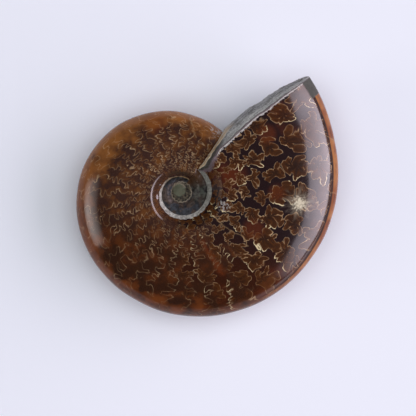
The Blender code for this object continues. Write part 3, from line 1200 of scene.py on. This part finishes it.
def with_star(at, colour):
    """Chalk with fine rays in a pale veil, and a mask of the chalk. The rays are noise on a polar map."""
    x, y, _ = split(vector_calc("SUBTRACT", at.place, CHALK_CENTRE))
    reach = (x * x + y * y) ** 0.5
    polar = join(calc("ARCTAN2", y, x) * 3.0, reach * 0.35)
    ray = ramp(noise(polar, 1.0, 3.0, (0.0, 5.0, 0.0), flat=True), 0.35, 0.7)
    chalk = ramp(reach + (at.rock["Grain"] - 0.5) * 1.2 - ray * 0.5, 1.9, 0.0) ** 1.5 * at.upper
    veil = ramp(reach - ray * 1.6, 2.9, 0.4) * at.upper * 0.3
    return coats(colour, (veil, CHALK_VEIL), (chalk * 0.9, CHALK)), chalk


print(len(STAINS), "stains,", len(CRACKS), "cracks and", len(DUST), "dusty places")


# %% [markdown]
# Grey rock is left as a rim in the umbilicus. It is tan at the start of the turn, then pale, and green-grey
# near the lip. Along the lip the broken edge of the shell is mauve by the umbilicus and white further out,
# and at the tip the shell has broken away from a grey facet.

# %% Layers: the rim and the lip
SHELL_WHITE = (0.72, 0.70, 0.66)
SHELL_MAUVE = (0.16, 0.12, 0.13)
RIM_DARK = (0.10, 0.095, 0.085)
RIM_LIGHT = (0.66, 0.63, 0.58)
RIM_GREEN = (0.27, 0.27, 0.24)
RIM_TAN_DEG = (200.0, 120.0)
RIM_GREEN_DEG = (290.0, 360.0)
FACET_GREY = (0.060, 0.060, 0.052)
FACET_LENGTH = 3.6
FACET_AT = 0.925


def with_rim(at, colour):
    """The rim, which widens along the turn, and its mask."""
    edge_at = ramp(at.turn, 130.0, 230.0) * 0.021 - ramp(at.turn, 370.0, 410.0) * 0.006 + 0.015
    rim = ramp(at.across - edge_at + (at.rock["Blotch"] - 0.5) * 0.006, 0.002, -0.002)
    light = coats(
        RIM_LIGHT,
        (ramp(at.turn, *RIM_GREEN_DEG), RIM_GREEN),
        (ramp(at.turn, *RIM_TAN_DEG), CRACK_TAN),
    )
    speckles = at.rock["Grain"] * 0.6 + at.rock["Blotch"] * 0.2 + 0.2
    return paint(rim, colour, paint(speckles, RIM_DARK, light)), rim


def with_lip(at, colour):
    """The broken edge and the facet, and a mask of both."""
    near_lip = at.to_lip + (at.rock["Grain"] - 0.5) * 0.4
    outer = ramp(at.across, 0.15, 0.20)
    edge = ramp(near_lip, 0.32, 0.12) * outer
    facet = ramp(at.to_lip, FACET_LENGTH + 0.3, FACET_LENGTH) * ramp(at.across, FACET_AT, FACET_AT + 0.015)
    colour = coats(
        colour,
        (ramp(near_lip, 0.7, 0.3) * (1.0 - outer) * 0.7, SHELL_MAUVE),
        (edge * (0.45 + at.rock["Grain"] * 0.6), SHELL_WHITE),
        (facet, paint(at.rock["Grain"] * 0.5 + at.rock["Blotch"] * 0.3, FACET_GREY, RIM_DARK)),
    )
    return colour, most(edge, facet)


print("the facet at the tip is", FACET_LENGTH, "mm long")


# %% [markdown]
# All the layers go into one material. Its polish is a clear coat, which is missing where the stone is rough:
# on rock and chalk, on the right wall of the umbilicus, by the foot of the rock in the lip and along the
# venter, which the wheel hardly touched.

# %% Material: polished calcite
BASE_SPECULAR = 0.15
POLISH_ROUGHNESS = 0.11
POLISH_IOR = 1.8
BUMP_STRENGTH = 0.8
BUMP_HEIGHT = 0.2


def lay_surface(shader, colour, rough, height):
    """Colour, roughness and a fine bump, in which every finish of the fossil ends."""
    plug(colour, shader.inputs["Base Color"])
    plug(rough, shader.inputs["Roughness"])
    bump = add_node(colour.tree, "ShaderNodeBump")
    plug(height, bump.inputs["Height"])
    bump.inputs["Strength"].default_value = BUMP_STRENGTH
    bump.inputs["Distance"].default_value = BUMP_HEIGHT * MM
    plug(Flow(bump.outputs["Normal"]), shader.inputs["Normal"])


def polish_left(at, rough):
    """How much polish a place has, from 0 to 1."""
    wall = ramp(at.across, 0.14, 0.11) * ramp(at.x, -5.0, -3.0)
    foot = ramp(at.turn, 88.0, 76.0) * ramp(at.across, 0.35, 0.5)
    venter = ramp(at.across, 0.83, 0.93) * (1.0 - at.strip) + ramp(at.across, 0.94, 0.95) * at.strip
    return (1.0 - most(rough, wall, foot, venter * 0.9)) * (1.0 - ramp(at.clouds, 0.40, 0.62) * 0.2)


def make_polished_calcite():
    """The polished flank."""
    material, tree, shader = new_material("polished calcite")
    at = read_flank(tree)
    colour, line = patterned_calcite(at)
    colour = with_marks(at, with_strip(at, colour), line)
    colour, chalk = with_star(at, colour)
    colour, rim = with_rim(at, colour)
    colour, lip = with_lip(at, colour)
    rough = most(rim, chalk, lip)
    lay_surface(shader, colour, rough * 0.4 + 0.25, at.rock["Height"] * rough)
    plug(polish_left(at, rough), shader.inputs["Coat Weight"])
    shader.inputs["Specular IOR Level"].default_value = BASE_SPECULAR
    shader.inputs["Coat Roughness"].default_value = POLISH_ROUGHNESS
    shader.inputs["Coat IOR"].default_value = POLISH_IOR
    return material


polished_calcite = make_polished_calcite()
print("polished calcite has", len(polished_calcite.node_tree.nodes), "nodes")


# %% [markdown]
# The floor of the umbilicus is dark slate with brown stains, and turns brown towards the end of the earlier
# turn. A frilled tan line, that turn's own seam, goes round its middle. Inside it lie a brown ring and a
# disc of green-grey rock. Painted shade darkens the floor just inside the seam on its lower side, and a
# painted highlight lies along the top edge of the disc.

# %% Material: rock in the umbilicus
FLOOR_BLACK_AND_SHADE = (0.012, 0.011, 0.010)
FLOOR_SLATE = (0.050, 0.053, 0.063)
FLOOR_BROWN = (0.085, 0.056, 0.042)
FLOOR_AMBER = (0.060, 0.026, 0.010)
KNOB_BROWN = (0.105, 0.085, 0.055)
KNOB_GREEN = (0.105, 0.115, 0.075)
SEAM_TAN_AND_HIGHLIGHT = (0.34, 0.28, 0.20)
SEAM_CENTRE = (-5.35, 1.05, 0.0)
SEAM_RADIUS = 2.2
SEAM_HALF_FRILLS = 8.5
DISC_CENTRE = (-5.8, 1.48, 0.0)
DISC_RADIUS = 1.3
HOLLOW_ROUGHNESS = 0.4


def make_hollow_rock():
    """The open floor, then the ring inside the frilled seam, and the disc in its middle."""
    material, tree, shader = new_material("rock in the umbilicus")
    place = object_place(tree)
    x, y, _ = split(place)
    flat_place = join(x, y)
    turn = split(coil_place(tree))[0] * CHAMBER_DEG
    rock = use(tree, rough_rock, Place=place, Grain_size=0.45, Blotch_size=1.8)
    grain, blotch = rock["Grain"], rock["Blotch"]
    slaty = ramp(x * 0.8 + y, 0.5, -6.0)
    mottle = ramp(noise(place, 1.1, 4.0, (5.0, 9.0, 1.0)), 0.42, 0.58)

    from_seam = vector_calc("SUBTRACT", flat_place, SEAM_CENTRE)
    seam_x, seam_y, _ = split(from_seam)
    frill = abs(sine(calc("ARCTAN2", seam_y, seam_x) * SEAM_HALF_FRILLS))
    radius = vector_calc("LENGTH", from_seam, (0.0, 0.0, 0.0)) + frill * 0.14 + (grain - 0.5) * 0.12
    past_seam = radius - SEAM_RADIUS
    from_disc = vector_calc("DISTANCE", flat_place, DISC_CENTRE) + (grain - 0.5) * 0.25
    colour = coats(
        FLOOR_BLACK_AND_SHADE,
        (slaty * 0.7 + mottle * 0.5 - 0.15, FLOOR_SLATE),
        (ramp(blotch, 0.35, 0.75) * (0.25 + slaty * 0.6), FLOOR_BROWN),
        (ramp(x, -4.0, -2.0) * ramp(y, -2.0, 0.0) * mottle * 0.35, KNOB_GREEN),
        (ramp(grain, 0.42, 0.2) * 0.6, FLOOR_BLACK_AND_SHADE),
        (ramp(turn, 0.0, 48.0), FLOOR_AMBER),
        (ramp(radius, SEAM_RADIUS + 0.1, SEAM_RADIUS - 0.1), paint(grain, FLOOR_BLACK_AND_SHADE, KNOB_BROWN)),
        # Painted shade: black just inside the frilled seam, on its lower side, in the outward bends of the
        # frill.
        (bell(past_seam + 0.25, 0.16) * ramp(frill, 0.75, 0.2) * ramp(seam_y, 0.8, -0.4), FLOOR_BLACK_AND_SHADE),
        (bell(past_seam, 0.10) * (blotch * 0.4 + 0.4), SEAM_TAN_AND_HIGHLIGHT),
        (ramp(from_disc, DISC_RADIUS + 0.12, DISC_RADIUS - 0.2), paint(grain * 0.5, KNOB_GREEN, KNOB_BROWN)),
        # Painted highlight: a pale arc along the top edge of the disc.
        (bell(from_disc - DISC_RADIUS, 0.13) * ramp(y, 1.6, 2.4) * 0.6, SEAM_TAN_AND_HIGHLIGHT),
    )
    lay_surface(shader, colour, HOLLOW_ROUGHNESS, rock["Height"])
    return material


hollow_rock = make_hollow_rock()
print("rock in the umbilicus has", len(hollow_rock.node_tree.nodes), "nodes")


# %% [markdown]
# The rock that fills the lip is grey, with a pale streaked stripe next to the shell and a darker one outside
# it. Near the umbilicus it turns olive and nearly black, with a tan line along its foot.

# %% Material: rock in the lip
FILL_DARK = (0.095, 0.093, 0.086)
FILL_LIGHT = (0.46, 0.46, 0.44)
FILL_OLIVE = (0.036, 0.031, 0.022)
FOOT_TAN = (0.42, 0.27, 0.12)
FOOT_PALE = (0.55, 0.48, 0.36)
LIP_ROUGHNESS = 0.5


def make_lip_rock():
    """Stripes of rock, drawn by how far down the fill a place is: 0 at the shell and 1 at the foot."""
    material, tree, shader = new_material("rock in the lip")
    down = carried(tree, "to_lip") * -1.0
    across = carried(tree, "across")
    rock = use(tree, rough_rock, Place=object_place(tree), Grain_size=0.4, Blotch_size=1.4)
    grain = rock["Grain"]
    streak = noise(join(down * 16.0, across * 10.0), 1.0, 4.0, (2.0, 7.0, 0.0), flat=True)
    streak = ramp(streak, 0.40, 0.60)
    stripe = down + (rock["Blotch"] - 0.5) * 0.06
    pale = ramp(stripe, 0.13, 0.20) * ramp(stripe, 0.60, 0.40)
    olive = paint(grain * 0.3 + streak * 0.2, FILL_OLIVE, FILL_DARK)
    colour = coats(
        FILL_DARK,
        (pale * 0.5 + streak * 0.45 + (grain - 0.5) * 0.5, FILL_LIGHT),
        (ramp(stripe, 0.13, 0.09) * 0.85, SHELL_MAUVE),
        (bell(stripe - 0.14, 0.025) * 0.7, FILL_OLIVE),
        (ramp(across, 0.34, 0.2), paint(ramp(stripe, 0.32, 0.1) * 0.8, olive, SHELL_MAUVE)),
        (ramp(stripe, 0.60, 0.68) * ramp(across, 0.42, 0.3),
         paint(bell(stripe - 0.80, 0.07) * 0.85, FOOT_PALE, FOOT_TAN)),
    )
    lay_surface(shader, colour, LIP_ROUGHNESS, rock["Height"] + streak * 0.4)
    return material


lip_rock = make_lip_rock()
for finish in (polished_calcite, hollow_rock, lip_rock):
    skin_mesh.materials.append(finish)
print("finishes:", [finish.name for finish in skin_mesh.materials])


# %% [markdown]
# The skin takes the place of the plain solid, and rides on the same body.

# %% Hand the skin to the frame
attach(ammonite, "root")
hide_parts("ammonite")
print("skin stands for the CAD node")


# %% [markdown]
# The floor is plain and pale. The camera looks straight down on it from eight times the fossil's length
# away, so that the coil is hardly distorted.

# %% Floor
FLOOR_HALF = 2.0
FLOOR_PAINT = (0.88, 0.91, 0.98)
PAINT_ROUGHNESS = 0.8

floor_corners = np.array([[-1, -1, 0], [1, -1, 0], [1, 1, 0], [-1, 1, 0]]) * FLOOR_HALF / MM
floor_mesh = new_mesh("floor", floor_corners, [[0, 1, 2], [0, 2, 3]])
floor = bpy.data.objects.new("floor", floor_mesh)
bpy.context.scene.collection.objects.link(floor)
floor_finish, _, floor_shader = new_material("pale floor")
floor_shader.inputs["Base Color"].default_value = (*FLOOR_PAINT, 1.0)
floor_shader.inputs["Roughness"].default_value = PAINT_ROUGHNESS
floor_mesh.materials.append(floor_finish)
print("floor", 2 * FLOOR_HALF, "m wide")

# %% Camera
LENS = 180.0
SENSOR = 36.0
VIEW_WIDTH = 87.5
VIEW_CENTRE = (0.2, -2.29)
CLIP_METRES = (0.01, 10.0)

camera_data = bpy.data.cameras.new("camera")
camera_data.lens = LENS
camera_data.sensor_width = SENSOR
camera_height = VIEW_WIDTH * LENS / SENSOR + coil_height
camera = bpy.data.objects.new("camera", camera_data)
camera.location = (VIEW_CENTRE[0] * MM, VIEW_CENTRE[1] * MM, camera_height * MM)
camera_data.clip_start, camera_data.clip_end = CLIP_METRES
bpy.context.scene.collection.objects.link(camera)
bpy.context.scene.camera = camera
print("camera", round(camera_height), "mm above the floor")


# %% [markdown]
# Polished stone shows what it mirrors as much as its own colour. A large soft light low on the right draws
# the broad pale band down the flank, and a smaller, warmer one on the left lifts the far side. Most of the
# light on the floor, and on the stone's own colours, comes from a broad lamp overhead. It is kept out of the
# reflections, so that the top of the flank stays dark and clear.

# %% Lights
SKY_TINT = (0.82, 0.86, 1.0)
SKY_STRENGTH = 0.03


def soft_light(name, azimuth, elevation, distance, size, radiance, colour, yaw=0.0, pitch=0.0, spread=180.0):
    """A flat lamp that faces the origin, or past it by a yaw and a pitch, in degrees and metres. Its power is
    its radiance times its area times pi."""
    data = bpy.data.lights.new(name, "AREA")
    data.shape = "RECTANGLE"
    data.size, data.size_y = size
    data.energy = radiance * size[0] * size[1] * math.pi
    data.color = colour
    data.spread = math.radians(spread)
    lamp = bpy.data.objects.new(name, data)
    turn, rise = math.radians(azimuth), math.radians(elevation)
    lamp.location = (distance * math.cos(rise) * math.cos(turn), distance * math.cos(rise) * math.sin(turn),
                     distance * math.sin(rise))
    tip = math.pi / 2.0 - rise - math.radians(pitch)
    lamp.rotation_euler = (tip, 0.0, turn + math.pi / 2.0 + math.radians(yaw))
    bpy.context.scene.collection.objects.link(lamp)
    return lamp


lamps = [
    soft_light("key light", -6.0, 31.0, 0.5, (1.12, 0.42), 1.56, (1.05, 0.93, 1.05), 8.0, -23.0, 114.0),
    soft_light("left light", 188.0, 24.0, 0.6, (0.38, 0.38), 0.31, (1.05, 0.92, 0.88), 0.0, -11.0, 62.0),
    soft_light("overhead light", 0.0, 90.0, 1.2, (1.6, 1.6), 1.45, (0.965, 1.0, 1.04)),
]
overhead = lamps[-1]
overhead.visible_glossy = False

world = bpy.data.worlds.new("studio")
world.use_nodes = True
background = world.node_tree.nodes["Background"]
background.inputs["Color"].default_value = (*SKY_TINT, 1.0)
background.inputs["Strength"].default_value = SKY_STRENGTH
bpy.context.scene.world = world
bpy.context.scene.view_settings.view_transform = "Standard"
print("lights:", [lamp.name for lamp in lamps])
